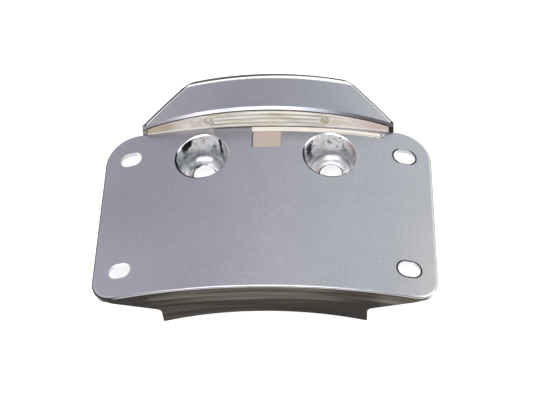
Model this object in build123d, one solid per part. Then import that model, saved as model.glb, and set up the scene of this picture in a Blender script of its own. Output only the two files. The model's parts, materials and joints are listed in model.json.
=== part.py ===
"""Curved licence plate mount for a motorcycle rear fender, with a lamp hood above the plate.

The mount lies on the feet of its fender saddle. X runs across the plate, Y up the plate
towards the lamp hood, and Z straight out of the plate's face. Sizes are in millimetres.
While a piece is drawn, Y is measured from half way between the two rows of plate slots,
and Z from the crown of the curved face. Everything is moved to the floor at the end.
"""
import math
import os

from build123d import *

# Curved face sheet, with its width measured along the curve
face_radius = 255.0
sheet = 3.0
plate_girth = 176.0
plate_height = 101.6
top_corner = 16.0
bottom_corner = 12.0
face_edge_round = 0.9

# Plate slots, on the spacing of a motorcycle plate
slot_column_spacing = 146.05
slot_row_spacing = 69.85
slot_length = 11.2
slot_width = 8.4
slot_chamfer = 0.7

# Bolt cups
cup_offset = 33.5
cup_set_in = 16.3
cup_rim_radius = 13.7
cup_foot_radius = 12.0
cup_floor_corner = 5.5
cup_depth = 16.5
cup_floor = 3.5
cup_wall = 2.5
cup_overrun = 2.0
cup_rim_chamfer = 0.5
bolt_hole = 11.5
boss_core_radius = 10.5

# Fender saddle
fender_radius = 139.0
wheel_arc_radius = 345.0
saddle_crown_depth = 24.0
foot_depth = 33.4
saddle_half_width = 51.2
saddle_wall = 3.0
saddle_set_in = 3.8
skirt_inset = 0.5
shoulder_inner_depth = 22.6
shoulder_outer_depth = 15.6
shoulder_reach = 79.0
shoulder_fillet = 3.0
rib = 2.5
rib_depth = 15.0
cross_rib_height = -12.0
gusset_offset = 20.0
gusset_reach = 20.0
gusset_depth = 14.0

# Lead channel and tab seat in the face
channel_gap = 0.15
channel_width = 3.1
channel_depth = 1.4
channel_right = 62.0
strip_end_gap = 2.4
strip_side_gap = 0.1
strip_drop = 0.1
strip_round = 0.5
tab_width = 15.6
tab_height = 10.4
tab_depth = 1.0
tab_side_gap = 0.2
tab_drop = 0.2
lead_hole = 6.4
lead_hole_set_in = 8.4
grommet_flange = 5.2
grommet_lip = 1.2
grommet_bore = 3.6
grommet_gap = 0.1

# Lamp hood
hood_slope = 12.0
hood_reach = 11.6
hood_end_reach = 4.8
hood_step = 0.45
hood_height = 31.15
hood_shoulder_height = 3.15
hood_base_half = 66.8
hood_top_half = 42.4
hood_shoulder_corner = 5.0
hood_top_corner = 6.0
brow_slope = 25.0
brow_height = 6.0
brow_round = 4.0
hood_front_facing = 0.5
hood_edge_round = 2.6
hood_wall = 2.4
hood_lip = 1.4
hood_lip_slope = -39.0
hood_front_wall = 2.2
hood_fit = 0.3

# Lamp hood fixings, from behind
hood_screw_inset = 18.0
hood_screw_set_in = 8.75
hood_screw_thread = 4.0
hood_screw_hole = 4.4
hood_screw_head = 7.6
hood_screw_head_height = 2.6
hood_screw_socket = 2.5
hood_socket_depth = 1.3
hood_screw_bite = 3.0
hood_screw_chamfer = 0.6
hood_boss_radius = 4.5
pad_radius = 6.0
pad_height = 1.4
washer_thickness = 0.8
washer_radius = 4.6
thread_fit = 0.02

# Lens in the underside of the hood
lens_lean = 3.0
lens_bow = 1.7
lens_thickness = 2.4
lens_end_gap = 0.25
lens_top_gap = 0.2
lens_foot_gap = 0.2
flute_count = 4
flute_gap = 3.3
flute_height = 0.6
bar_steps = 4
lens_screw_gap = 4.2
lens_screw_head = 4.6
lens_screw_head_height = 1.4
lens_screw_sink = 1.0
lens_screw_thread = 2.6
lens_screw_length = 8.0
screw_slot = 0.7
screw_head_chamfer = 0.4
gasket = 0.8
gasket_rim = 1.2
gasket_end = 14.5
gasket_fit = 0.05

# Lamp board
board_end = 1.6
board_width = 4.6
board_thickness = 1.2
board_lift = 0.3
board_to_lens = 3.4
post_width = 6.0
post_depth = 6.0
board_screw_gap = 4.25
board_screw_head = 3.6
board_screw_head_height = 1.1
board_screw_thread = 2.0
board_screw_length = 4.5
led_count = 6
led_spacing = 6.2
led_width = 3.5
led_depth = 2.8
led_height = 1.9
led_corner = 0.25
led_window = 2.2
led_window_depth = 0.2
resistor_gap = 3.4
resistor_width = 1.6
resistor_length = 3.2
resistor_height = 0.6

# Places worked out from the sizes above
plate_half = face_radius * math.sin(plate_girth / 2 / face_radius)
slot_half = face_radius * math.sin(slot_column_spacing / 2 / face_radius)
plate_low = -plate_height / 2
plate_high = plate_height / 2
skirt_low = plate_low + skirt_inset
saddle_top = plate_high - saddle_set_in
saddle_middle = (skirt_low + saddle_top) / 2
saddle_half_length = (saddle_top - skirt_low) / 2
crown_rise = wheel_arc_radius - math.sqrt(wheel_arc_radius ** 2 - saddle_half_length ** 2)
cup_above_centre = saddle_top - cup_set_in
lead_hole_height = saddle_top - lead_hole_set_in
hood_base = plate_high + hood_step
hood_shoulder = hood_base + hood_shoulder_height
hood_top = hood_base + hood_height
brow_start = hood_top - brow_height
hood_screw_height = hood_base + hood_screw_set_in
hood_screw_offset = hood_base_half - hood_screw_inset
lens_foot = hood_base - lens_lean
channel_top = lens_foot - channel_gap
channel_left = -tab_width / 2
lens_end = hood_base_half - hood_wall - lens_end_gap
gasket_window_half = lens_end - gasket_end
gasket_back = lens_thickness + gasket
board_screw_offset = (led_count - 1) / 2 * led_spacing + led_width / 2 + board_screw_gap
resistor_offset = board_screw_offset + resistor_gap
board_half = resistor_offset + board_end
lens_screw_offset = board_half + lens_screw_gap
flute_half_span = lens_screw_offset - flute_gap
board_front = hood_base + gasket_back + board_to_lens
board_back = board_front + board_thickness
board_middle = board_lift + board_width / 2
far = 2 * (plate_height + foot_depth)
centre_y = (plate_low + hood_top) / 2


def face_z(x):
    """Height of the curved face at a distance from the centre line."""
    return math.sqrt(face_radius ** 2 - x ** 2) - face_radius


hood_drop = (hood_reach - hood_end_reach - face_z(hood_base_half)) * math.cos(math.radians(hood_slope))
hood_face_radius = (hood_base_half ** 2 + hood_drop ** 2) / 2 / hood_drop


def foot_y(x):
    """Height up the plate of the lens's foot, which bows up towards its ends."""
    return lens_foot + lens_bow * (x / lens_end) ** 2


lens_screw_seat = (foot_y(lens_screw_offset) + hood_base) / 2 + lens_screw_sink
lens_screw_end = lens_screw_seat + lens_screw_length


def hood_z(x, y, depth=0.0):
    """Height of the hood's outer face, or of a face that lies deeper in its wall."""
    lean = math.radians(hood_slope)
    axis = hood_reach - hood_face_radius / math.cos(lean) - (y - hood_base) * math.tan(lean)
    return axis + math.sqrt((hood_face_radius - depth) ** 2 - x ** 2) / math.cos(lean)


def column(sketch, low=-far, high=far):
    """A sketch in the XY plane, run straight along Z."""
    return Pos(0, 0, low) * extrude(sketch, amount=high - low)


def both_sides(shape, offset, height=0.0):
    """A shape at the two places that lie the same way out from the centre line."""
    return Pos(-offset, height) * shape + Pos(offset, height) * shape


def under_face(depth=0.0):
    """All that lies below the curved face, less a depth."""
    return Pos(0, 0, -face_radius) * Rot(90, 0, 0) * Cylinder(face_radius - depth, 2 * far)


def under_arch(y, slope, depth):
    """All that lies below an arch as round as the hood, which passes its crown at y with a slope."""
    radius = hood_face_radius * math.cos(math.radians(hood_slope)) / math.cos(math.radians(slope))
    crown = Pos(0, y, hood_z(0, y)) * Rot(-slope, 0, 0)
    return crown * Pos(0, 0, -radius) * Rot(90, 0, 0) * Cylinder(radius - depth, 2 * far)


def below_hood(body, depth=0.0):
    """What is left of a body below the hood's outer face and its brow, less a depth."""
    return body & under_arch(hood_base, hood_slope, depth) & under_arch(brow_start, brow_slope, depth)


def outer_edges(faces):
    """The edges round the outside of faces that join."""
    edges = ShapeList(edge for face in faces for edge in face.edges())
    return edges.filter_by(lambda edge: sum(edge.is_same(other) for other in edges) == 1)


def plate_outline(inset=0.0):
    """Outline of the plate, with larger corners at its top."""
    half = plate_half - inset
    low = plate_low + inset
    high = plate_high - inset
    corners = [(-half, low), (half, low), (half, high), (-half, high)]
    outline = make_face(Polyline(*corners, close=True))
    outline = fillet(outline.vertices().group_by(Axis.Y)[0], bottom_corner - inset)
    return fillet(outline.vertices().group_by(Axis.Y)[-1], top_corner - inset)


def hood_outline(inset=0.0, base=hood_base):
    """Outline of the hood, set in from its sides and top, with its base where it is wanted."""
    run = (hood_base_half - hood_top_half) / (hood_top - hood_shoulder)
    narrowing = math.hypot(1, run)
    side = hood_base_half - inset
    shoulder = hood_shoulder - inset * (narrowing - 1) / run
    top = hood_top - inset
    top_side = hood_base_half - inset * narrowing - (top - hood_shoulder) * run
    corners = [(side, base), (side, shoulder), (top_side, top)]
    corners += [(-x, y) for x, y in reversed(corners)]
    outline = make_face(Polyline(*corners, close=True))
    rows = outline.vertices().group_by(Axis.Y)
    outline = fillet(rows[1], max(hood_shoulder_corner - inset, 1.0))
    return fillet(outline.vertices().group_by(Axis.Y)[-1], max(hood_top_corner - inset, 1.0))


def underside_section(x, back, front, foot_gap, top_depth, flutes):
    """Section of a bar in the slanting underside, from the face up to the hood's wall."""
    def corner(offset):
        y = hood_base + offset
        return Vector(x, y, hood_z(x, y, top_depth) - lens_top_gap * (top_depth > 0))

    foot = Vector(x, foot_y(x) + front, face_z(x) + foot_gap)
    low = Vector(x, foot_y(x) + back, face_z(x) + foot_gap)
    top = corner(front)
    edges = [Line(top, corner(back)), Line(corner(back), low), Line(low, foot)]
    if not flutes:
        return make_face(Wire(edges + [Line(foot, top)]))
    for index in range(flutes):
        first = foot + (top - foot) * (index / flutes)
        last = foot + (top - foot) * ((index + 1) / flutes)
        middle = (first + last) * 0.5 - Vector(0, flute_height, 0)
        edges.append(ThreePointArc(first, middle, last))
    return make_face(Wire(edges))


def underside_bar(low, high, back, front=0.0, foot_gap=0.0, top_depth=0.0, flutes=0):
    """A bar along the slanting underside, lofted through sections at even steps."""
    steps = [low + (high - low) * index / bar_steps for index in range(bar_steps + 1)]
    return loft([underside_section(x, back, front, foot_gap, top_depth, flutes) for x in steps])


def fender():
    """The rounded fender that the saddle sits on."""
    crown = -saddle_crown_depth + crown_rise
    middle = Pos(0, saddle_middle, crown - wheel_arc_radius) * Rot(0, 90, 0)
    return middle * Torus(wheel_arc_radius - fender_radius, fender_radius)


def slot_sketch():
    """The four slots that a licence plate is bolted through."""
    slot = SlotOverall(slot_length, slot_width)
    row = slot_row_spacing / 2
    return both_sides(slot, slot_half, row) + both_sides(slot, slot_half, -row)


def face_sheet():
    """The curved sheet with its rounded edge and its slots."""
    outline = plate_outline() - slot_sketch()
    body = column(outline) & (under_face() - under_face(sheet))
    front = body.faces().sort_by(SortBy.AREA)[-1]
    body = chamfer([e for wire in front.inner_wires() for e in wire.edges()], slot_chamfer)
    front = body.faces().sort_by(SortBy.AREA)[-1]
    return fillet(front.outer_wire().edges(), face_edge_round)


def hood_tongue():
    """The sheet behind the hood, which closes it."""
    outline = hood_outline(hood_wall + hood_fit, plate_high - face_edge_round)
    body = column(outline) & (under_face() - under_face(sheet))
    return below_hood(body, hood_front_wall + hood_fit)


def bottom_skirt():
    """The wall along the bottom edge, with its shoulders and the two feet of the saddle."""
    side = [
        (plate_half, 0),
        (plate_half, -shoulder_outer_depth),
        (shoulder_reach, -shoulder_outer_depth),
        (saddle_half_width, -shoulder_inner_depth),
        (saddle_half_width, -foot_depth),
    ]
    profile = side + [(-x, z) for x, z in reversed(side)]
    wall = make_face(Polyline(*profile, close=True))
    necks = wall.vertices().filter_by(lambda v: abs(v.Y + shoulder_inner_depth) < face_edge_round)
    wall = fillet(necks, shoulder_fillet)
    wall = Pos(0, skirt_low) * Rot(90, 0, 0) * extrude(wall, amount=-saddle_wall)
    return wall & column(plate_outline(skirt_inset))


def saddle_walls():
    """The side rails and top wall of the saddle."""
    inner_half = saddle_half_width - saddle_wall
    inner_length = 2 * (saddle_half_length - saddle_wall)
    outer = Rectangle(2 * saddle_half_width, 2 * saddle_half_length)
    frame = Pos(0, saddle_middle) * (outer - Rectangle(2 * inner_half, inner_length))
    return column(frame, -foot_depth, 0)


def saddle_ribs():
    """A rib across the saddle, and one down the centre line below it."""
    across = Pos(0, cross_rib_height) * Rectangle(2 * saddle_half_width - saddle_wall, rib)
    length = cross_rib_height - skirt_low
    down = Pos(0, skirt_low + length / 2) * Rectangle(rib, length)
    return column(across + down, -rib_depth, 0)


def tongue_gussets():
    """Two webs that brace the tongue from the top wall of the saddle."""
    start = saddle_top - saddle_wall
    web = make_face(Polyline((start, 0), (start, -gusset_depth), (saddle_top, -gusset_depth),
                             (saddle_top + gusset_reach, -sheet), (saddle_top + gusset_reach, 0),
                             close=True))
    web = Rot(0, 0, 90) * Rot(90, 0, 0) * Pos(0, 0, -rib / 2) * extrude(web, amount=rib)
    return both_sides(web, gusset_offset)


def cup_bosses():
    """The round boss behind each bolt cup, which stands on the fender."""
    circle = Circle(cup_rim_radius + cup_wall)
    return column(both_sides(circle, cup_offset, cup_above_centre), -foot_depth, 0)


def cup_hollow():
    """A bolt cup's bowl, its bolt hole and the core behind it, about the cup's own axis."""
    floor = face_z(cup_offset) - cup_depth
    above = floor + cup_depth * cup_overrun
    mouth = cup_foot_radius + (cup_rim_radius - cup_foot_radius) * cup_overrun
    corners = [(0, above), (mouth, above), (cup_foot_radius, floor), (0, floor)]
    section = make_face(Polyline(*corners, close=True))
    corner = section.vertices().sort_by(Axis.Y)[:2].sort_by(Axis.X)[-1]
    bowl = Rot(90, 0, 0) * revolve(fillet([corner], cup_floor_corner), Axis.Y)
    core = column(Circle(boss_core_radius), -far, floor - cup_floor)
    return bowl + core + column(Circle(bolt_hole / 2))


def face_band(sketch, top_drop, depth):
    """A sketch laid in the curved face, between two depths."""
    return column(sketch) & (under_face(top_drop) - under_face(depth))


def strip_sketch(side_gap=0.0, end_gap=0.0):
    """Plan of the lead channel, or of the strip that lies in it."""
    length = channel_right - end_gap - channel_left - side_gap
    middle = channel_left + side_gap + length / 2
    return Pos(middle, channel_top - channel_width / 2) * Rectangle(
        length, channel_width - 2 * side_gap
    )


def tab_sketch(gap=0.0):
    """Plan of the seat of the lead tab, or of the tab."""
    middle = channel_top - channel_width - tab_height / 2
    return Pos(0, middle) * Rectangle(tab_width - 2 * gap, tab_height - 2 * gap)


def screw_pads():
    """The flat pads behind the tongue that the hood screws tighten on."""
    low = face_z(hood_screw_offset) - sheet - pad_height
    return column(both_sides(Circle(pad_radius), hood_screw_offset, hood_screw_height), low, 0)


def backing_plate():
    """The whole casting."""
    behind = bottom_skirt() + saddle_walls() + saddle_ribs() + cup_bosses()
    behind += tongue_gussets() + screw_pads()
    body = face_sheet() + hood_tongue() + (behind & under_face(sheet / 2))
    body -= both_sides(cup_hollow(), cup_offset, cup_above_centre)
    front = body.faces().sort_by(SortBy.AREA)[-1]
    rims = front.inner_wires().sort_by(SortBy.LENGTH)[-2:]
    body = chamfer([edge for rim in rims for edge in rim.edges()], cup_rim_chamfer)
    body -= fender()
    body -= column(slot_sketch())
    body -= face_band(strip_sketch(), -sheet, channel_depth)
    body -= face_band(tab_sketch(), -sheet, tab_depth)
    body -= column(Pos(0, lead_hole_height) * Circle(lead_hole / 2))
    holes = both_sides(Circle(hood_screw_hole / 2), hood_screw_offset, hood_screw_height)
    return body - column(holes)


def hood_shell():
    """The open shell of the hood, rounded along its sides and top."""
    shell = below_hood(column(hood_outline()))
    front = shell.faces().sort_by(Axis.Z)[-1]
    shell = fillet(front.edges().sort_by(Axis.Y)[-1], brow_round)
    fronts = shell.faces().filter_by(lambda face: face.normal_at().Z > hood_front_facing)
    shell = fillet(outer_edges(fronts).sort_by(Axis.Y)[1:], hood_edge_round) - under_face(sheet)
    inside = column(hood_outline(hood_wall, hood_base - hood_wall))
    return shell - below_hood(inside, hood_front_wall)


def along_y(diameter, low, high, gap=0.0):
    """A round bar along Y, a little larger round where a gap is given."""
    bar = Cylinder(diameter / 2 + gap, high - low, align=(Align.CENTER, Align.CENTER, Align.MAX))
    return Pos(0, low) * Rot(90, 0, 0) * bar


def at_lens_screws(shape):
    """A shape at the two lens screws, half way up the slanting underside."""
    top = hood_z(lens_screw_offset, hood_base, hood_front_wall)
    return Pos(0, 0, (face_z(lens_screw_offset) + top) / 2) * both_sides(shape, lens_screw_offset)


def at_board_screws(shape):
    """A shape at the two screws of the lamp board."""
    return Pos(0, 0, board_middle) * both_sides(shape, board_screw_offset)


def at_hood_screws(shape):
    """A shape at the two screws that hold the hood, level with the face there."""
    return Pos(0, 0, face_z(hood_screw_offset)) * both_sides(
        shape, hood_screw_offset, hood_screw_height
    )


def light_hood():
    """The hood with its cheeks, its screw bosses and the posts behind its lens."""
    body = hood_shell()
    boss = both_sides(Circle(hood_boss_radius), hood_screw_offset, hood_screw_height)
    body += below_hood(column(boss), hood_front_wall / 2) - under_face()
    post = Rectangle(post_width, post_depth)
    posts = both_sides(post, board_screw_offset, board_back + post_depth / 2)
    posts += both_sides(post, lens_screw_offset, hood_base + gasket_back + post_depth / 2)
    body += below_hood(column(posts), hood_front_wall / 2) - under_face(-lens_foot_gap)
    for side in (-1, 1):
        ends = sorted((side * hood_base_half, side * (hood_base_half - hood_wall)))
        body += underside_bar(*ends, hood_wall, foot_gap=lens_foot_gap)
    body = body & under_arch(hood_base + hood_lip, hood_lip_slope, 0)
    body -= at_hood_screws(column(Circle(hood_screw_thread / 2 + thread_fit), -sheet, hood_screw_bite))
    body -= at_lens_screws(along_y(lens_screw_thread, lens_screw_seat, lens_screw_end, thread_fit))
    return body - at_board_screws(
        along_y(board_screw_thread, board_back, board_front + board_screw_length, thread_fit)
    )


def lens_room():
    """The space between the hood's end walls that the lens and its gasket fill."""
    below = Pos(0, hood_base - lens_end / 2) * Rectangle(2 * lens_end, lens_end)
    return column(below + hood_outline(hood_wall + lens_end_gap))


def hood_lens():
    """The clear lens across the underside, with long flutes in its middle."""
    fit = (lens_thickness, 0, lens_foot_gap, hood_front_wall)
    body = underside_bar(-flute_half_span, flute_half_span, *fit, flute_count)
    body += underside_bar(-lens_end, -flute_half_span, *fit)
    body += underside_bar(flute_half_span, lens_end, *fit)
    seat = along_y(lens_screw_head, lens_foot - lens_thickness, lens_screw_seat, thread_fit)
    hole = along_y(lens_screw_thread, lens_foot, hood_base + gasket_back, thread_fit)
    return (body & lens_room()) - at_lens_screws(seat + hole)


def lens_gasket():
    """The thin frame of foam between the lens and the hood."""
    frame = underside_bar(-lens_end, lens_end, gasket_back, lens_thickness + gasket_fit,
                          lens_foot_gap, hood_front_wall)
    window = underside_bar(-gasket_window_half, gasket_window_half, gasket_back + gasket, 0,
                           lens_foot_gap + gasket_rim, hood_front_wall + gasket_rim)
    return (frame & lens_room()) - window


def pan_screw(head, head_height, thread, length):
    """A small pan screw along Y with its head's seat at Y zero, and a slot across its head."""
    top = along_y(head, -head_height, 0)
    top = chamfer(top.edges().filter_by(GeomType.CIRCLE).sort_by(Axis.Y)[0], screw_head_chamfer)
    slot = Pos(0, -head_height) * Box(head, screw_slot, screw_slot)
    return top - slot + along_y(thread, 0, length)


def lens_screws():
    """The two screws through the lens."""
    screw = pan_screw(lens_screw_head, lens_screw_head_height, lens_screw_thread, lens_screw_length)
    return at_lens_screws(Pos(0, lens_screw_seat) * screw)


def board_screws():
    """The two screws of the lamp board."""
    screw = pan_screw(board_screw_head, board_screw_head_height, board_screw_thread,
                      board_screw_length)
    return at_board_screws(Pos(0, board_front) * screw)


def hood_screw():
    """A socket screw along Z with its head below, its seat at Z zero."""
    head = Cylinder(hood_screw_head / 2, hood_screw_head_height,
                    align=(Align.CENTER, Align.CENTER, Align.MAX))
    head = chamfer(head.edges().filter_by(GeomType.CIRCLE).sort_by(Axis.Z)[0], hood_screw_chamfer)
    socket = RegularPolygon(hood_screw_socket / 2, 6, major_radius=False)
    head -= column(socket, -far, hood_socket_depth - hood_screw_head_height)
    shank = washer_thickness + pad_height + sheet + hood_screw_bite
    return head + column(Circle(hood_screw_thread / 2), 0, shank)


def hood_screws():
    """The two socket screws that hold the hood from behind."""
    seat = -sheet - pad_height - washer_thickness
    return at_hood_screws(Pos(0, 0, seat) * hood_screw())


def hood_washers():
    """The washers under the heads of the hood screws."""
    ring = Circle(washer_radius) - Circle(hood_screw_hole / 2)
    return at_hood_screws(column(ring, -sheet - pad_height - washer_thickness, -sheet - pad_height))


def led_board():
    """The lamp board, which stands behind the lens."""
    board = Pos(0, board_back - board_thickness / 2, board_middle) * Box(
        2 * board_half, board_thickness, board_width
    )
    return board - at_board_screws(along_y(board_screw_thread, board_front, board_back, thread_fit))


def led(index):
    """One light on the board, with the round window of its emitter."""
    offset = (index - (led_count - 1) / 2) * led_spacing
    body = Pos(0, -led_height / 2) * Box(led_width, led_height, led_depth)
    body = chamfer(body.edges().filter_by(Axis.Y), led_corner)
    body -= along_y(led_window, -led_height, led_window_depth - led_height)
    return Pos(offset, board_front, board_middle) * body


def resistor(side):
    """One resistor at an end of the board."""
    body = Box(resistor_width, resistor_height, resistor_length)
    return Pos(side * resistor_offset, board_front - resistor_height / 2, board_middle) * body


def lead_strip():
    """The strip that covers the lead in its channel."""
    strip = face_band(strip_sketch(strip_side_gap, strip_end_gap), strip_drop, channel_depth)
    front = strip.faces().sort_by(SortBy.AREA)[-1]
    return fillet(front.edges(), strip_round)


def lead_tab():
    """The flat tab that closes the hole where the lead goes behind the sheet."""
    return face_band(tab_sketch(tab_side_gap), tab_drop, tab_depth)


def lead_grommet():
    """The grommet that lines the lead's hole from behind."""
    neck = Circle(lead_hole / 2) - Circle(grommet_bore / 2)
    flange = Circle(grommet_flange) - Circle(grommet_bore / 2)
    place = Pos(0, lead_hole_height)
    body = face_band(place * neck, tab_depth + grommet_gap, sheet + grommet_lip)
    return body + face_band(place * flange, sheet, sheet + grommet_lip)


def left_and_right(shape):
    """The two solids of a mirrored pair, the left one first."""
    return shape.solids().sort_by(Axis.X)


def main():
    """Write every piece to its own file, on the floor."""
    pieces = {
        "backing_plate": backing_plate(),
        "light_hood": light_hood(),
        "hood_lens": hood_lens(),
        "lens_gasket": lens_gasket(),
        "led_board": led_board(),
        "lead_strip": lead_strip(),
        "lead_tab": lead_tab(),
        "lead_grommet": lead_grommet(),
    }
    pairs = {
        "lens_screw": lens_screws(),
        "board_screw": board_screws(),
        "hood_screw": hood_screws(),
        "hood_washer": hood_washers(),
        "resistor": resistor(-1) + resistor(1),
    }
    for name, pair in pairs.items():
        pieces[f"{name}_left"], pieces[f"{name}_right"] = left_and_right(pair)
    for index in range(led_count):
        pieces[f"led_{index + 1}"] = led(index)
    floor = Pos(0, -centre_y, foot_depth)
    os.makedirs("parts", exist_ok=True)
    for name, shape in pieces.items():
        export_step(floor * shape, f"parts/{name}.step")


main()
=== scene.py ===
"""A chrome licence plate mount for a motorcycle's rear fender, dressed and lit like a catalogue picture.

Every length is in metres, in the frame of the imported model: X runs across the plate, Y up it towards
the lamp hood, and Z straight out of its face.
"""
import json
import math

import bpy
from mathutils import Matrix, Vector


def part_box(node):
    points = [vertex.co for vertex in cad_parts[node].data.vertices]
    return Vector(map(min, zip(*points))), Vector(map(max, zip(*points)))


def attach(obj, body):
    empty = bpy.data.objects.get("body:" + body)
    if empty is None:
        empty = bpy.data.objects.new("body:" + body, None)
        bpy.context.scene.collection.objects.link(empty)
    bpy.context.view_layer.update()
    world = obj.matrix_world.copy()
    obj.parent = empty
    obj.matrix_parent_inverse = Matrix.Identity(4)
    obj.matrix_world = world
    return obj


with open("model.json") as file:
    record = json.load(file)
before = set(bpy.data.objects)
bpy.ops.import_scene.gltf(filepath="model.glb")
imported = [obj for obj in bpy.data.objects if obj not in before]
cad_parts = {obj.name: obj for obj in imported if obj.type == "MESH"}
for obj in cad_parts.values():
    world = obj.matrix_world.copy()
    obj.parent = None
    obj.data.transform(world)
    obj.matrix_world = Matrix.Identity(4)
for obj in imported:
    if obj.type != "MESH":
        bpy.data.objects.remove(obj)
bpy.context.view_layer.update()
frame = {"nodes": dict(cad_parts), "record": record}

mm = 0.001
mounts = {mount["name"]: mount for mount in frame["record"]["mounts"]}


def corners(name):
    """The low and high corners of a node's box."""
    low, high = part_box(name)
    return Vector(low), Vector(high)


# The casting, from its own box and from the two bolt patterns
plate_low, plate_high = corners("backing_plate")
skirt_face = plate_low.y
face_crown = plate_high.z
face_radius = 255 * mm
sheet = 3 * mm
edge_round = 0.9 * mm
plate_half_height = 50.8 * mm
lower_corner = 12 * mm
upper_corner = 16 * mm
slots = mounts["plate_slots"]
slot_middle = slots["pos_m"][1]
slot_offset = slots["dims"]["spacing_x_mm"] / 2 * mm
slot_row = slots["dims"]["spacing_y_mm"] / 2 * mm
slot_radius = slots["dims"]["hole_r_mm"] * mm
slot_straight = slots["dims"]["slot_length_mm"] / 2 * mm - slot_radius
bolts = mounts["fender_bolts"]
cup_offset = bolts["dims"]["spacing_x_mm"] / 2 * mm
cup_height = bolts["pos_m"][1]
cup_rim = 14.2 * mm
hole_radius = bolts["dims"]["hole_r_mm"] * mm

# The hood and its lens
_, hood_high = corners("light_hood")
hood_arch = 152.9 * mm
hood_top_half = 42.4 * mm
shoulder_drop = 28 * mm
hood_shoulder = hood_high.y - shoulder_drop
hood_run = (hood_high.x - hood_top_half) / shoulder_drop
# Widths of the painted dark outline and of the painted highlight line inside it, along the hood's edge
outline_width = 2.3 * mm
glint_width = 3.1 * mm
lens_low, lens_high = corners("hood_lens")
lens_foot = lens_low.y
flutes = 4
flutes_half = 27.4 * mm

# The knurls on the hood's screws, and the solder on the board
ridge_count = 30
ridge_radius = 0.17 * mm
ridge_height = 1.6 * mm
ridge_sunk = 0.12 * mm
ridge_middle = 1.55 * mm
lamp_count = 6
bead_half = (0.35 * mm, 0.4 * mm, 0.9 * mm)

# The camera, fitted to the slots, the cups and the outlines of the plate and hood
picture_width = 533
focal_pixels = 1318.6
camera_distance = 665.8 * mm
camera_turn = math.radians(5.64)
camera_height = math.radians(54.02)
camera_roll = math.radians(-5.09)
aim_right = 1.16 * mm
aim_above_slots = 0.37 * mm

# The gloss of satin plate, the soft side of a line, and the scales of the patterns
satin_roughness = 0.285
line_soft = 0.12 * mm
satin_clouds = 45.0
satin_grain = 800.0
satin_ripples = 160.0
cup_clouds = 120.0
cup_cloud_shape = (1, 1, 0.7)
skirt_streaks = (11.0, 300.0)
lens_streaks = (45.0, 9.0)
lens_spots = 190.0
moulded_clouds = 120.0
moulded_pits = 1400.0
foam_pores = 900.0
rubber_pits = 1100.0
strip_clouds = 260.0
tab_grain = 700.0
lamp_grain = 900.0
chip_speckle = 3000.0
metal_clouds = 260.0
metal_grain = 1900.0

# Shades of the casting
white = (1.0, 1.0, 1.0)
black = (0.0, 0.0, 0.0)
face_dark = (0.6, 0.595, 0.645)
face_light = (0.71, 0.71, 0.75)
# Painted reflections on the face: a pale one at the lower left and a warm one on the right
face_pale_reflection = (0.96, 0.94, 1.0)
face_warm_reflection = (0.9, 0.82, 0.8)
# Painted shadow on the face below the lens
lens_shadow = (0.28, 0.28, 0.33)
# Painted shade: the back of the casting greyer than its chrome face
back_shade = (0.36, 0.36, 0.385)
# Painted shade that dims the highlight on the plate's lower round edge
round_shade = (0.3, 0.3, 0.3)
# Painted highlights and painted shade on the casting's slots, edges and cups
slot_glint = (1.0, 0.97, 0.92)
slot_shade = (0.02, 0.02, 0.02)
edge_glint = (1.0, 1.0, 0.97)
edge_shade = (0.02, 0.018, 0.016)
cup_floor_shade = (0.36, 0.38, 0.4)
cup_shade = (0.015, 0.015, 0.015)
rim_shade = (0.01, 0.01, 0.01)
# Painted reflections inside the cups, in clouds from dark to white with a pink cast
cup_reflection_stops = [(0.36, (0.03, 0.03, 0.03)), (0.43, (0.36, 0.36, 0.38)), (0.48, (0.78, 0.8, 0.85)),
               (0.54, (1.0, 1.0, 1.0)), (0.63, (0.68, 0.55, 0.52))]
# Painted dark reflection on the skirt, as brown-grey streaks
skirt_reflection_stops = [(0.36, (0.003, 0.002, 0.001)), (0.48, (0.012, 0.006, 0.003)),
               (0.56, (0.034, 0.026, 0.017)), (0.72, (0.1, 0.09, 0.07))]

# Shades of the hood and lens
hood_dark = (0.47, 0.465, 0.515)
hood_light = (0.58, 0.58, 0.625)
# Painted shade on the hood's left end
hood_left_shade = (0.33, 0.315, 0.36)
# Painted highlight on the hood's brow, and a painted dark outline round the hood
brow_highlight = (1.0, 1.0, 0.96)
outline_shade = (0.004, 0.003, 0.002)
# Painted shade on the lip under the hood's front, with a painted pale reflection at its left and a
# painted brown shade line under it
lip_deep_shade = (0.24, 0.25, 0.29)
lip_soft_shade = (0.34, 0.33, 0.34)
lip_pale_reflection = (0.8, 0.79, 0.86)
lip_brown_shade = (0.13, 0.09, 0.08)
# Painted shade on the hood's outer walls
wall_shade = (0.34, 0.34, 0.36)
# A painted pale reflection low on the hood's left, and painted shade at the ends of its foot
foot_pale_reflection = (0.62, 0.6, 0.57)
foot_shade = (0.025, 0.022, 0.02)
ivory_streaks = [(0.3, (0.5, 0.4, 0.28)), (0.42, (0.74, 0.69, 0.57)), (0.52, (0.93, 0.89, 0.82)),
                 (0.7, (0.97, 0.95, 0.91))]
ivory_edge = (1.0, 0.99, 0.96)
ivory_spot = (0.78, 0.7, 0.63)
lens_left_brown = (0.5, 0.42, 0.3)
lens_right_brown = (0.62, 0.48, 0.42)
# Painted shade in the valleys of the lens's flutes
valley_shade = (0.3, 0.3, 0.22)

# Shades of the small pieces, as pairs that a pattern runs between
strip_cream = ((0.86, 0.82, 0.76), (0.72, 0.67, 0.6))
strip_crack = (0.16, 0.15, 0.12)
tab_beige = ((0.55, 0.46, 0.41), (0.4, 0.33, 0.3))
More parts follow.
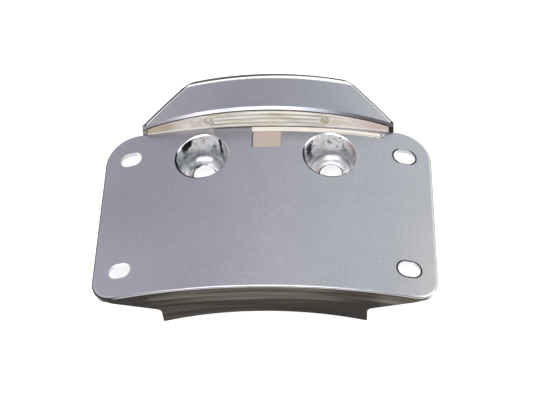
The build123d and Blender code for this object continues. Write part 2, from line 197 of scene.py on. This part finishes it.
# Painted shadow down the tab's left edge
tab_edge_shadow = (0.12, 0.1, 0.09)
foam_black = ((0.035, 0.035, 0.035), (0.015, 0.015, 0.015))
rubber_black = ((0.03, 0.03, 0.03), (0.018, 0.018, 0.018))
board_white = ((0.86, 0.87, 0.84), (0.78, 0.8, 0.75))
lamp_white = ((0.93, 0.92, 0.88), (0.86, 0.85, 0.8))
lamp_yellow = (0.85, 0.68, 0.16)
chip_black = ((0.02, 0.02, 0.022), (0.04, 0.04, 0.045))
tin = (0.62, 0.62, 0.6)
zinc = ((0.68, 0.65, 0.58), (0.54, 0.51, 0.45))
stainless = ((0.6, 0.6, 0.61), (0.48, 0.48, 0.5))
washer_zinc = ((0.7, 0.7, 0.69), (0.58, 0.58, 0.57))
solder_tin = ((0.72, 0.72, 0.7), (0.6, 0.6, 0.58))

# Shades of the studio
floor_grey = (0.86, 0.86, 0.86)
left_wall = (0.40, 0.39, 0.45)
right_wall = (0.66, 0.70, 0.70)
dark_front = (0.16, 0.14, 0.13)
bright_ceiling = (1.1, 1.1, 1.12)
bright_low_back = (1.15, 1.15, 1.13)


class Varying:
    """A value that varies over a surface, and the maths that is done on it."""

    def __init__(self, tree, socket):
        self.tree = tree
        self.socket = socket

    def _maths(self, operation, *values):
        return self.tree.node("ShaderNodeMath", {"operation": operation}, dict(enumerate(values)))

    def __add__(self, other):
        return self._maths("ADD", self, other)

    __radd__ = __add__

    def __sub__(self, other):
        return self._maths("SUBTRACT", self, other)

    def __rsub__(self, other):
        return self._maths("SUBTRACT", other, self)

    def __mul__(self, other):
        return self._maths("MULTIPLY", self, other)

    __rmul__ = __mul__

    def __truediv__(self, other):
        return self._maths("DIVIDE", self, other)

    def __neg__(self):
        return self._maths("MULTIPLY", self, -1.0)

    def __abs__(self):
        return self._maths("ABSOLUTE", self)

    def root(self):
        """Its square root."""
        return self._maths("SQRT", self)

    def wave(self):
        """Its sine."""
        return self._maths("SINE", self)

    def least(self, other):
        """The smaller of this and another."""
        return self._maths("MINIMUM", self, other)

    def most(self, other):
        """The larger of this and another."""
        return self._maths("MAXIMUM", self, other)

    def between(self, low, high):
        """Rises smoothly from 0 at low to 1 at high, and falls where high is the smaller."""
        if low > high:
            return 1.0 - self.between(high, low)
        smooth = {"interpolation_type": "SMOOTHSTEP"}
        return self.tree.node("ShaderNodeMapRange", smooth, {0: self, 1: low, 2: high})


class Tree:
    """A node tree of a finish or of the studio's surround."""

    def __init__(self, owner):
        owner.use_nodes = True
        self.nodes = owner.node_tree.nodes
        self.links = owner.node_tree.links

    def feed(self, socket, value):
        """Links a varying value to a socket, or sets the socket to a number, colour or vector."""
        if isinstance(value, Varying):
            self.links.new(value.socket, socket)
        elif socket.type == "RGBA" and len(value) == 3:
            socket.default_value = (*value, 1.0)
        else:
            socket.default_value = value

    def node(self, kind, settings, sockets, output=0):
        """A new node: its settings are set first, then its sockets, by their numbers or names."""
        made = self.nodes.new(kind)
        for name, value in settings.items():
            if name == "stops":
                ramp = made.color_ramp.elements
                while len(ramp) < len(value):
                    ramp.new(0.5)
                for stop, (place, colour) in zip(ramp, value):
                    stop.position = place
                    stop.color = (*colour, 1.0)
            else:
                setattr(made, name, value)
        for socket, value in sockets.items():
            self.feed(made.inputs[socket], value)
        return Varying(self, made.outputs[output])

    def parts_of(self, vector):
        """The three parts of a vector."""
        return [self.node("ShaderNodeSeparateXYZ", {}, {0: vector}, output=k) for k in range(3)]

    def mix(self, share, first, second):
        """Two colours mixed, with share as the part of the second."""
        colours = {"data_type": "RGBA"}
        return self.node("ShaderNodeMix", colours, {0: share, 6: first, 7: second}, output=2)

    def coated(self, colour, *coats):
        """A colour under coats, which are laid in order, each with the share that it covers."""
        for share, coat in coats:
            colour = self.mix(share, colour, coat)
        return colour


class Finish(Tree):
    """A finish made only of nodes: one shader, and the patterns that feed it."""

    def __init__(self, name, **constants):
        self.material = bpy.data.materials.new(name + "_finish")
        super().__init__(self.material)
        self.shader = self.nodes["Principled BSDF"]
        self.set(**constants)

    def set(self, **values):
        """Sets the shader's own sockets, named in lower case with low dashes."""
        sockets = {socket.name.lower().replace(" ", "_"): socket for socket in self.shader.inputs}
        for name, value in values.items():
            self.feed(sockets[name], value)

    def place(self):
        """Where a point of the surface is."""
        return self.node("ShaderNodeTexCoord", {}, {}, output="Object")

    def facing(self):
        """Which way the surface faces."""
        return self.node("ShaderNodeNewGeometry", {}, {}, output="Normal")

    def noise(self, scale, detail=3.0, rough=0.55, where=None):
        """A cloudy pattern from 0 to 1, by the place on the surface or by another vector."""
        if where is None:
            where = self.place()
        sockets = {"Vector": where, "Scale": scale, "Detail": detail, "Roughness": rough}
        return self.node("ShaderNodeTexNoise", {}, sockets)

    def streaks(self, along, across, detail=3.0):
        """A pattern from 0 to 1 in long streaks, from how far a point lies along and across them."""
        where = self.node("ShaderNodeCombineXYZ", {}, {"X": along, "Z": across})
        return self.noise(1.0, detail, where=where)

    def bump(self, height, strength, distance):
        """Makes the surface look raised where a pattern is high."""
        sockets = {"Height": height, "Strength": strength, "Distance": distance}
        self.set(normal=self.node("ShaderNodeBump", {}, sockets))


def line(value, low, high, soft=line_soft):
    """A line where a value lies between two others, with soft sides."""
    return value.between(low - soft, low + soft) * value.between(high + soft, high - soft)


def depth_in_face(x, z):
    """How deep a point lies below the curved face of the plate."""
    out = z - (face_crown - face_radius)
    return face_radius - (x * x + out * out).root()


def place_in_cup(x, y):
    """Where a point lies from the axis of the nearer bolt cup: across, up and straight out."""
    outwards = abs(x) - cup_offset
    side = x.between(-1 * mm, 1 * mm) * 2 - 1
    up = y - cup_height
    return outwards * side, up, (outwards * outwards + up * up).root()


def in_from_plate_edge(x, y):
    """How far a point of the face lies in from the plate's outline, with its round corners."""
    upper_half = y.between(slot_middle, slot_middle + 1 * mm)
    corner = upper_half * (upper_corner - lower_corner) + lower_corner
    across = abs(x) - plate_high.x + corner
    up = abs(y - slot_middle) - plate_half_height + corner
    past_across = across.most(0.0)
    past_up = up.most(0.0)
    out = (past_across * past_across + past_up * past_up).root()
    return corner - out - across.most(up).least(0.0)


def out_from_slot(x, y):
    """How far a point of the face lies out from the nearest plate slot."""
    across = (abs(abs(x) - slot_offset) - slot_straight).most(0.0)
    up = abs(y - slot_middle) - slot_row
    return (across * across + up * up).root() - slot_radius


def in_from_hood_edge(x, y):
    """How far a point of the hood lies in from its outline, with less counted along its top.

    The painted lines of highlight and shade along the outline come out wider there, where they make the
    brow.
    """
    top_share = 0.6
    to_end = hood_high.x - abs(x)
    to_side = (to_end - (y - hood_shoulder) * hood_run) / math.hypot(1, hood_run)
    return to_end.least(to_side).least((hood_high.y - y) * top_share)


def satin_patterns(finish):
    """The patterns in satin plate: broad clouds, a fine grain, and the two of them together."""
    cloud = finish.noise(satin_clouds)
    grain = finish.noise(satin_grain, detail=2.0)
    return cloud, grain, cloud * 0.5 + grain.between(0.35, 0.65) * 0.5


def skirt_dark_reflection(finish, x, depth):
    """A painted dark reflection on the skirt, brown-grey in streaks that follow the curve of the face,
    with a painted shadow under the plate's edge.
    """
    along, down = skirt_streaks
    streaks = finish.streaks(x * along, depth * down, detail=4.0)
    middle = depth.between(15 * mm, 9 * mm) * abs(x + 8 * mm).between(58 * mm, 25 * mm)
    right_end = x.between(52 * mm, 62 * mm)
    left_end = x.between(-54 * mm, -60 * mm)
    tone = streaks + middle * 0.17 + right_end * 0.12 - left_end * 0.12 - 0.02
    reflected_colour = finish.node("ShaderNodeValToRGB", {"stops": skirt_reflection_stops}, {0: tone})
    # Painted shadow in a dark line under the face's edge on the left
    shadow_under_edge = line(depth, 1.0 * mm, 2.4 * mm, soft=0.3 * mm) * x.between(0.0, -50 * mm)
    return finish.mix(shadow_under_edge * 0.9, reflected_colour, black)


def cup_lining(finish, x, depth, cup_place):
    """Painted reflections in clouds inside the bolt cups, with painted shade on the floor, painted dark
    lines round its rim and hole, and a painted white hole wall.
    """
    to_right, up, from_axis = cup_place
    shaped = {"Vector": finish.place(), "Scale": cup_cloud_shape}
    where = finish.node("ShaderNodeMapping", {}, shaped)
    clouds = finish.noise(cup_clouds, detail=6.0, rough=0.62, where=where)
    painted_reflections = finish.node("ShaderNodeValToRGB", {"stops": cup_reflection_stops}, {0: clouds})

    # Painted shade that dims the lamp's highlight on the corner of the cup's floor
    floor_corner = line(from_axis, 7.4 * mm, 12.6 * mm, soft=0.9 * mm) * up.between(-1 * mm, 5 * mm)
    # Painted dark lines round the hole and the rim, and a painted dark streak of reflection in the left
    # cup
    hole_line = line(from_axis, hole_radius + 0.1 * mm, hole_radius + 0.7 * mm)
    hole_line = hole_line * clouds.between(0.42, 0.5)
    rim_line = line(from_axis, cup_rim - 1.2 * mm, cup_rim - 0.5 * mm) * clouds.between(0.5, 0.42)
    streak = line(to_right + clouds * (4 * mm), 10.6 * mm, 12 * mm) * up.between(0.0, 2 * mm)
    streak = streak * depth.between(10.5 * mm, 8.5 * mm) * x.between(0.0, -1 * mm)
    # Painted reflection: the hole's wall made white, like the bright floor seen through it
    in_hole = from_axis.between(hole_radius + 0.15 * mm, hole_radius)
    return finish.coated(
        painted_reflections,
        (floor_corner * 0.7, cup_floor_shade),
        (hole_line.most(rim_line).most(streak), cup_shade),
        (in_hole, white),
    )


def face_plate(finish, x, y, depth, mottle):
    """The grey of the face, with a painted pale reflection at the lower left, a painted warm reflection
    on the right and a painted shadow below the lens.
    """
    # Where the painted reflections lie: pale at the lower left, warm at the lower right
    lower_left = x.between(-30 * mm, -70 * mm) * (-y).between(10 * mm, 50 * mm)
    lower_right_reflection = x.between(60 * mm, 92 * mm) * (-y).between(-10 * mm, 60 * mm)
    # Painted shadow in a band of the face below the lens
    shadow_under_lens = y.between(lens_foot - 12 * mm, lens_foot - 2 * mm)
    shadow_under_lens = shadow_under_lens * depth.between(edge_round, 0.3 * mm) * abs(x).between(62 * mm, 20 * mm)
    return finish.coated(
        finish.mix(mottle, face_dark, face_light),
        (lower_left * 0.35, face_pale_reflection),
        (lower_right_reflection * 0.6, face_warm_reflection),
        (shadow_under_lens * 0.6, lens_shadow),
    )


def slot_coats(x, y, on_top, on_right):
    """Painted highlights on the rims of the left slots, and painted dark lines of shade round the right
    ones.
    """
    out = out_from_slot(x, y)
    slot_ends = abs(abs(x) - slot_offset).between(2 * mm, 4 * mm)
    lower_slot = y.between(slot_middle + 5 * mm, slot_middle - 5 * mm)
    slot_highlight_line = on_top * line(out, -0.3 * mm, 0.5 * mm) * (1.0 - on_right)
    slot_shade_line = on_top * line(out, 0.1 * mm, 0.9 * mm) * on_right
    slot_shade_line = slot_shade_line * slot_ends.most(lower_slot * 0.85)
    return (slot_highlight_line * 0.7, slot_glint), (slot_shade_line, slot_shade)


def cup_coats(finish, x, depth, cup_place, in_cup, on_top):
    """The lining of the cups, with a painted highlight on the lip above, painted shade on it below, and
    a painted shadow past it at the lower left.
    """
    to_right, up, from_axis = cup_place
    # Painted shade and shadow fall at the lip's lower left
    lower_left = (to_right + up).between(-8 * mm, -11 * mm)
    lip = in_cup * depth.between(0.5 * mm, 0.35 * mm)
    lip_highlight_and_shade = finish.mix(up.between(-7 * mm, -10 * mm).most(lower_left), white, rim_shade)
    lip_shadow = on_top * line(from_axis, cup_rim - 0.4 * mm, cup_rim + 0.3 * mm) * lower_left
    lining = cup_lining(finish, x, depth, cup_place)
    return (in_cup, lining), (lip, lip_highlight_and_shade), (lip_shadow, rim_shade)


def edge_coats(x, y, faces_up, on_top, on_right):
    """Painted shade and painted highlights in lines along the plate's outline, and painted shade on its
    lower round edge.
    """
    edge = in_from_plate_edge(x, y)
    left_corner = x.between(-70 * mm, -76 * mm)
    left_corner = left_corner * y.between(slot_middle - slot_row, skirt_face + 6 * mm)
    dark_part = (y - slot_middle).between(-48 * mm, -44 * mm).most(left_corner)
    edge_shade_line = on_top * edge.between(0.75 * mm, 0.45 * mm) * dark_part
    right_highlight = line(edge, 0.5 * mm, 1.2 * mm) * x.between(70 * mm, 78 * mm)
    left_highlight = line(edge, 0.9 * mm, 1.6 * mm) * left_corner
    # Painted shade on the lower round edge, dimming its highlight
    lower_round = on_top * (-faces_up).between(0.2, 0.5)
    lower_round = lower_round * y.between(skirt_face + 4 * mm, skirt_face + 3 * mm)
    return (
        (lower_round * 0.6, round_shade),
        (edge_shade_line * (1.0 - on_right * 0.6), edge_shade),
        (on_top * right_highlight.most(left_highlight), edge_glint),
    )


def casting_chrome():
    """Satin plate on the face, with painted reflections in the cups, a painted dark reflection on the
    skirt, and painted highlights and shade along the edges.
    """
    finish = Finish("cast_chrome", metallic=1.0)
    x, y, z = finish.parts_of(finish.place())
    _, faces_up, _ = finish.parts_of(finish.facing())
    depth = depth_in_face(x, z)
    cup_place = place_in_cup(x, y)
    _, _, from_axis = cup_place
    cloud, grain, mottle = satin_patterns(finish)

    on_top = depth.between(edge_round + 0.3 * mm, edge_round + 0.1 * mm)
    on_right = x.between(0.0, 10 * mm)
    # Painted shade on the back of the casting
    behind = depth.between(sheet - 0.4 * mm, sheet + 0.2 * mm)
    in_cup = from_axis.between(cup_rim, cup_rim - 0.2 * mm)
    skirt = (-faces_up).between(0.6, 0.9) * depth.between(0.5 * mm, 1.2 * mm)
    skirt = skirt * y.between(skirt_face + 8 * mm, skirt_face + 4 * mm)
    finish.set(base_color=finish.coated(
        face_plate(finish, x, y, depth, mottle),
        (behind, back_shade),
        *slot_coats(x, y, on_top, on_right),
        *cup_coats(finish, x, depth, cup_place, in_cup, on_top),
        *edge_coats(x, y, faces_up, on_top, on_right),
        (skirt, skirt_dark_reflection(finish, x, depth)),
    ))
    finish.set(roughness=satin_roughness + cloud * 0.05 + grain * 0.02 + in_cup * 0.04)
    ripples = finish.noise(satin_ripples, detail=2.0)
    relief = grain * 0.02 + ripples * (0.06 + in_cup * 0.9)
    finish.bump(relief, strength=0.35, distance=0.2 * mm)
    return finish


def hood_chrome():
    """Satin plate on the lamp hood, with a painted highlight on the brow, painted shade on the lip and
    walls, and a painted dark outline.
    """
    finish = Finish("hood_chrome", metallic=1.0)
    x, y, z = finish.parts_of(finish.place())
    _, faces_up, faces_out = finish.parts_of(finish.facing())
    cloud, grain, mottle = satin_patterns(finish)

    edge = in_from_hood_edge(x, y) + x.between(-30 * mm, 30 * mm) * (0.7 * mm)
    above = faces_out.between(0.28, 0.36)
    left_end = x.between(-30 * mm, -60 * mm)
    # Painted shade on the downward lip, paler at the left as a painted reflection
    lip = finish.mix(cloud.between(0.4, 0.6), lip_deep_shade, lip_soft_shade)
    lip = finish.mix(x.between(-20 * mm, -50 * mm), lip, lip_pale_reflection)
    # Painted shade on the outer walls
    outer_wall = faces_out.between(0.2, 0.05) * faces_up.between(-0.7, -0.6)
    # Painted reflection low on the left, and painted shade at the foot's ends
    low_on_left = x.between(0.0, -1 * mm) * (-depth_in_face(x, z)).between(3.4 * mm, 2.6 * mm)
    foot_ends = abs(faces_out).between(0.45, 0.2) * faces_up.between(-0.75, -0.6)
    foot_ends = foot_ends * y.between(lens_foot + 9 * mm, lens_foot + 7 * mm)
    foot_ends = foot_ends * abs(x).between(hood_high.x - 4 * mm, hood_high.x - 3 * mm)
    finish.set(base_color=finish.coated(
        finish.mix(mottle, hood_dark, hood_light),
        (left_end * 0.7, hood_left_shade),
        # Painted highlight on the brow and along the outline, inside a painted dark outline
        (faces_up.between(0.29, 0.34), brow_highlight),
        (above * line(edge, outline_width, glint_width), white),
        (above * edge.between(outline_width + 0.2 * mm, outline_width), outline_shade),
        ((-faces_up).between(0.3, 0.45), lip),
        ((-faces_up).between(0.75, 0.9), lip_brown_shade),
        (outer_wall, wall_shade),
        (low_on_left * (-faces_up).between(0.6, 0.8), foot_pale_reflection),
        (foot_ends * (1.0 - low_on_left * 0.75), foot_shade),
    ))
    finish.set(roughness=satin_roughness + grain * 0.02 + cloud * 0.04)
    finish.bump(grain * 0.02 + cloud * 0.1, strength=0.3, distance=0.2 * mm)
    return finish


def up_the_lens(x, z):
    """How far up the slanting lens a point lies, from 0 at its foot to 1 at its top."""
    foot = (face_radius ** 2 - x * x).root() + (face_crown - face_radius)
    top = (hood_arch ** 2 - x * x).root() + (lens_high.z - hood_arch)
    return (z - foot) / (top - foot)


def clear_lens():
    """Clear moulded plastic with an ivory cast, and painted shade in the valleys of its flutes."""
    finish = Finish("lens", ior=1.49, transmission_weight=0.22)
    x, _, z = finish.parts_of(finish.place())
    height = up_the_lens(x, z)
    along, up = lens_streaks
    streaks = finish.streaks(x * along, height * up)
    ivory = finish.node("ShaderNodeValToRGB", {"stops": ivory_streaks}, {0: streaks})

    inside = height.between(0.08, 0.25) * height.between(0.95, 0.8)
    plain_part = abs(x).between(flutes_half + 2 * mm, flutes_half + 6 * mm)
    spots = finish.noise(lens_spots).between(0.5, 0.66)
    left_end = x.between(-44 * mm, -54 * mm) * (0.8 + streaks * 0.4)
    right_end = x.between(40 * mm, 58 * mm) * (0.4 + streaks * 0.8)
    # Painted shade in the valleys between the flutes
    valley = abs((height * (flutes * math.pi)).wave()).between(0.5, 0.1)
    valley = valley * abs(x).between(flutes_half + 5 * mm, flutes_half - 2 * mm)
    finish.set(base_color=finish.coated(
        ivory,
        (plain_part * (1.0 - inside), ivory_edge),
        (spots * plain_part * inside, ivory_spot),
        (left_end * inside, lens_left_brown),
        (right_end * inside, lens_right_brown),
        (valley * 0.8, valley_shade),
    ))
    finish.set(roughness=0.12 + streaks * 0.12)
    finish.bump(streaks, strength=0.25, distance=0.1 * mm)
    return finish


def pitted(finish, roughness, scale=moulded_pits, strength=0.25):
    """Gives a moulded finish its gloss and its fine pits."""
    pits = finish.noise(scale, detail=2.0)
    finish.set(roughness=roughness + pits * 0.12)
    finish.bump(pits, strength, distance=0.08 * mm)
    return finish


def moulded(name, shades, roughness, scale=moulded_pits, strength=0.25):
    """A moulded finish in two near shades, with fine pits."""
    finish = Finish(name)
    cloud = finish.noise(moulded_clouds).between(0.3, 0.7)
    finish.set(base_color=finish.mix(cloud, *shades))
    return pitted(finish, roughness, scale, strength)


def strip_plastic():
    """Cream strip, paler and glossier than the tab, with a dark crack along its right half."""
    finish = Finish("strip")
    low, _ = corners("lead_strip")
    x, y, _ = finish.parts_of(finish.place())
    cloud = finish.noise(strip_clouds)
    crack = line(y + cloud * (0.8 * mm), low.y + 0.9 * mm, low.y + 1.3 * mm)
    crack = crack * x.between(24 * mm, 36 * mm)
    cream = finish.mix(cloud, *strip_cream)
    finish.set(base_color=finish.mix(crack * 0.7, cream, strip_crack))
    finish.set(roughness=0.22 + cloud * 0.1)
    finish.bump(cloud, strength=0.3, distance=0.1 * mm)
    return finish


def tab_plastic():
    """Beige tab, with a painted shadow down its left edge."""
    finish = Finish("tab")
    low, _ = corners("lead_tab")
    x, _, _ = finish.parts_of(finish.place())
    beige = finish.mix(finish.noise(tab_grain), *tab_beige)
    left_edge_shadow = x.between(low.x + 0.9 * mm, low.x + 0.6 * mm)
    finish.set(base_color=finish.mix(left_edge_shadow, beige, tab_edge_shadow))
    return pitted(finish, roughness=0.42)


def foam():
    """Black foam with open pores."""
    return moulded("foam", foam_black, roughness=0.8, scale=foam_pores, strength=0.8)


def black_rubber():
    """Black rubber."""
    return moulded("grommet", rubber_black, roughness=0.55, scale=rubber_pits, strength=0.35)


def solder_mask():
    """The white lacquer of the lamp board, in two near shades."""
    return moulded("board", board_white, roughness=0.35)


def lamp_package():
    """White lamp body with a yellow window in its front."""
    finish = Finish("led")
    board_low, _ = corners("led_board")
    lamp_low, _ = corners("led_1")
    _, y, _ = finish.parts_of(finish.place())
    _, faces_up, _ = finish.parts_of(finish.facing())
    window = y.between(lamp_low.y + 0.1 * mm, lamp_low.y + 0.19 * mm)
    window = window * (-faces_up).between(0.8, 0.95)
    window = window * y.between(board_low.y - 0.2 * mm, board_low.y - 0.4 * mm)
    package = finish.mix(finish.noise(lamp_grain), *lamp_white)
    finish.set(base_color=finish.mix(window, package, lamp_yellow))
    return pitted(finish, roughness=0.35)


def resistor_body():
    """Black chip with tinned ends."""
    finish = Finish("resistor")
    low, high = corners("resistor_left")
    middle = (low.z + high.z) / 2
    half = (high.z - low.z) / 2
    _, _, z = finish.parts_of(finish.place())
    tinned = abs(z - middle).between(half * 0.66, half * 0.72)
    speckle = finish.noise(chip_speckle)
    chip = finish.mix(speckle, *chip_black)
    finish.set(base_color=finish.mix(tinned, chip, tin), metallic=tinned)
    finish.set(roughness=0.35 + speckle * 0.2)
    finish.bump(speckle, strength=0.2, distance=0.05 * mm)
    return finish


def plated_metal(name, shades, roughness):
    """Bright plated metal in two near shades, with a fine grain."""
    finish = Finish(name, metallic=1.0)
    grain = finish.noise(metal_grain)
    finish.set(base_color=finish.mix(finish.noise(metal_clouds), *shades))
    finish.set(roughness=roughness + grain * 0.15)
    finish.bump(grain, strength=0.3, distance=0.05 * mm)
    return finish


def finishes():
    """Every finish by the material slot that it is for, and the solder's."""
    return {
        "cast_chrome": casting_chrome(),
        "hood_chrome": hood_chrome(),
        "lens": clear_lens(),
        "foam": foam(),
        "board": solder_mask(),
        "led": lamp_package(),
        "resistor": resistor_body(),
        "small_screw": plated_metal("small_screw", zinc, roughness=0.38),
        "hood_screw": plated_metal("hood_screw", stainless, roughness=0.24),
        "washer": plated_metal("washer", washer_zinc, roughness=0.3),
        "strip": strip_plastic(),
        "tab": tab_plastic(),
        "grommet": black_rubber(),
        "solder": plated_metal("solder", solder_tin, roughness=0.18),
    }


def dress_nodes(made):
    """Gives each node of the model the finish of its slot."""
    slot_of = {part["node"]: part["material_slot"] for part in frame["record"]["subparts"]}
    for name, node in frame["nodes"].items():
        for material_slot in node.material_slots:
            material_slot.material = made[slot_of[name]].material


def tree_with_sizes(name, sizes):
    """A new tree of geometry nodes with an input for each size and for the material."""
    tree = bpy.data.node_groups.new(name, "GeometryNodeTree")
    inputs = {"Geometry": "Geometry", **sizes, "Material": "Material"}
    for size, kind in inputs.items():
        tree.interface.new_socket(size, in_out="INPUT", socket_type="NodeSocket" + kind)
    tree.interface.new_socket("Geometry", in_out="OUTPUT", socket_type="NodeSocketGeometry")
    return tree, tree.nodes.new("NodeGroupInput")


def close_tree(tree, given, links, placed):
    """Links the nodes of a tree and ends it in real geometry with a material."""
    real = tree.nodes.new("GeometryNodeRealizeInstances")
    coated = tree.nodes.new("GeometryNodeSetMaterial")
    result = tree.nodes.new("NodeGroupOutput")
    last_links = [
        (placed.outputs["Instances"], real.inputs["Geometry"]),
        (real.outputs["Geometry"], coated.inputs["Geometry"]),
        (given.outputs["Material"], coated.inputs["Material"]),
        (coated.outputs["Geometry"], result.inputs["Geometry"]),
    ]
    for start, end in links + last_links:
        tree.links.new(start, end)
    return tree


def ridge_tree():
    """Geometry nodes for straight ridges round a knurled head."""
    sizes = {"Count": "Int", "Radius": "Float", "Ridge": "Float", "Height": "Float"}
    tree, given = tree_with_sizes("ridges", sizes)
    ring = tree.nodes.new("GeometryNodeMeshCircle")
    ridge = tree.nodes.new("GeometryNodeMeshCylinder")
    ridge.inputs["Vertices"].default_value = 8
    placed = tree.nodes.new("GeometryNodeInstanceOnPoints")
    return close_tree(tree, given, [
        (given.outputs["Count"], ring.inputs["Vertices"]),
        (given.outputs["Radius"], ring.inputs["Radius"]),
        (given.outputs["Ridge"], ridge.inputs["Radius"]),
        (given.outputs["Height"], ridge.inputs["Depth"]),
        (ring.outputs["Mesh"], placed.inputs["Points"]),
        (ridge.outputs["Mesh"], placed.inputs["Instance"]),
    ], placed)


def bead_tree():
    """Geometry nodes for a row of solder beads, one at each lamp."""
    sizes = {"Count": "Int", "Spacing": "Vector", "Bead": "Vector"}
    tree, given = tree_with_sizes("beads", sizes)
    row = tree.nodes.new("GeometryNodeMeshLine")
    bead = tree.nodes.new("GeometryNodeMeshIcoSphere")
    bead.inputs["Radius"].default_value = 1.0
    bead.inputs["Subdivisions"].default_value = 2
    placed = tree.nodes.new("GeometryNodeInstanceOnPoints")
    return close_tree(tree, given, [
        (given.outputs["Count"], row.inputs["Count"]),
        (given.outputs["Spacing"], row.inputs["Offset"]),
        (given.outputs["Bead"], placed.inputs["Scale"]),
        (row.outputs["Mesh"], placed.inputs["Points"]),
        (bead.outputs["Mesh"], placed.inputs["Instance"]),
    ], placed)


def grown(name, tree, place, **sizes):
    """A plain mesh that a tree of geometry nodes grows at a place, kept as a piece."""
    holder = bpy.data.objects.new(name + "_tree", bpy.data.meshes.new(name + "_tree"))
    bpy.context.scene.collection.objects.link(holder)
    modifier = holder.modifiers.new("grown", "NODES")
    modifier.node_group = tree
    sockets = {item.name: item.identifier for item in tree.interface.items_tree
               if item.in_out == "INPUT"}
    for size, value in sizes.items():
        modifier[sockets[size]] = value
    bpy.context.view_layer.update()
    ready = holder.evaluated_get(bpy.context.evaluated_depsgraph_get())
    mesh = bpy.data.meshes.new_from_object(ready)
    bpy.data.objects.remove(holder)
    mesh.transform(Matrix.Translation(place))
    mesh.shade_smooth()
    piece = bpy.data.objects.new(name, mesh)
    bpy.context.scene.collection.objects.link(piece)
    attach(piece, "root")
    return piece


def head_ridges(made):
    """Straight ridges round the heads of the screws that hold the hood."""
    tree = ridge_tree()
    for side in ("left", "right"):
        low, high = corners("hood_screw_" + side)
        middle = (low + high) / 2
        ridges = grown(
            "hood_screw_ridges_" + side, tree, Vector((middle.x, middle.y, low.z + ridge_middle)),
            Count=ridge_count, Radius=(high.x - low.x) / 2 - ridge_sunk, Ridge=ridge_radius,
            Height=ridge_height, Material=made["hood_screw"].material,
        )


def solder_beads(made):
    """Beads of solder at both ends of each lamp on the board."""
    tree = bead_tree()
    low, high = corners("led_1")
    next_low, _ = corners("led_2")
    for side, x in (("left", low.x), ("right", high.x)):
        beads = grown(
            "solder_beads_" + side, tree, Vector((x, high.y, (low.z + high.z) / 2)),
            Count=lamp_count, Spacing=(next_low.x - low.x, 0.0, 0.0), Bead=bead_half,
            Material=made["solder"].material,
        )


def floor():
    """A plain pale floor under the feet."""
    half = 8.0
    mesh = bpy.data.meshes.new("floor")
    outline = [(-half, -half, 0), (half, -half, 0), (half, half, 0), (-half, half, 0)]
    mesh.from_pydata(outline, [], [(0, 1, 2, 3)])
    made = bpy.data.objects.new("floor", mesh)
    bpy.context.scene.collection.objects.link(made)
    finish = Finish("floor", roughness=0.9, specular_ior_level=0.0, base_color=floor_grey,
                    emission_strength=0.62, emission_color=white)
    mesh.materials.append(finish.material)


def surround():
    """The studio round the object: white to the camera, and grey walls in the chrome."""
    world = bpy.data.worlds.new("studio")
    bpy.context.scene.world = world
    tree = Tree(world)
    direction = tree.node("ShaderNodeTexCoord", {}, {}, output="Generated")
    x, y, z = tree.parts_of(direction)
    walls = tree.coated(
        tree.mix(x.between(-0.55, 0.75), left_wall, right_wall),
        ((-y).between(0.1, 0.5), dark_front),
        (z.between(0.88, 0.97), bright_ceiling),
        (z.between(0.26, 0.2) * y.between(0.1, 0.3), bright_low_back),
    )
    seen = tree.node("ShaderNodeLightPath", {}, {}, output="Is Camera Ray")
    background = tree.nodes["Background"]
    tree.feed(background.inputs["Color"], tree.mix(seen, walls, white))
    background.inputs["Strength"].default_value = 1.0


def softbox(name, place, width, height, power, colour):
    """A soft lamp that looks at the middle of the object."""
    data = bpy.data.lights.new(name, "AREA")
    data.shape = "RECTANGLE"
    data.size = width
    data.size_y = height
    data.energy = power
    data.color = colour
    lamp = bpy.data.objects.new(name, data)
    lamp.location = place
    lamp.rotation_euler = (-Vector(place)).to_track_quat("-Z", "Y").to_euler()
    bpy.context.scene.collection.objects.link(lamp)


def studio_lights():
    """One large lamp over the front, and one small warm one on the right."""
    softbox("front_box", place=(-0.1, -0.75, 1.25), width=1.2, height=0.8, power=16.0, colour=white)
    softbox("right_box", place=(1.1, -0.1, 0.55), width=0.5, height=0.5, power=3.0,
            colour=(1.0, 0.94, 0.9))


def camera():
    """The camera that took the picture, turned and rolled as it was."""
    towards = Vector((
        math.sin(camera_turn) * math.cos(camera_height),
        -math.cos(camera_turn) * math.cos(camera_height),
        math.sin(camera_height),
    ))
    right = Vector((math.cos(camera_turn), math.sin(camera_turn), 0.0))
    above = towards.cross(right)
    turned_right = math.cos(camera_roll) * right + math.sin(camera_roll) * above
    turned_above = math.cos(camera_roll) * above - math.sin(camera_roll) * right
    turn = Matrix((turned_right, turned_above, towards)).transposed()
    aim = Vector((aim_right, slot_middle + aim_above_slots, face_crown))
    data = bpy.data.cameras.new("camera")
    data.sensor_fit = "HORIZONTAL"
    data.lens = focal_pixels * data.sensor_width / picture_width
    made = bpy.data.objects.new("camera", data)
    made.matrix_world = Matrix.Translation(aim + camera_distance * towards) @ turn.to_4x4()
    bpy.context.scene.collection.objects.link(made)
    bpy.context.scene.camera = made


made_finishes = finishes()
dress_nodes(made_finishes)
head_ridges(made_finishes)
solder_beads(made_finishes)
floor()
surround()
studio_lights()
camera()
bpy.context.scene.view_settings.view_transform = "Standard"
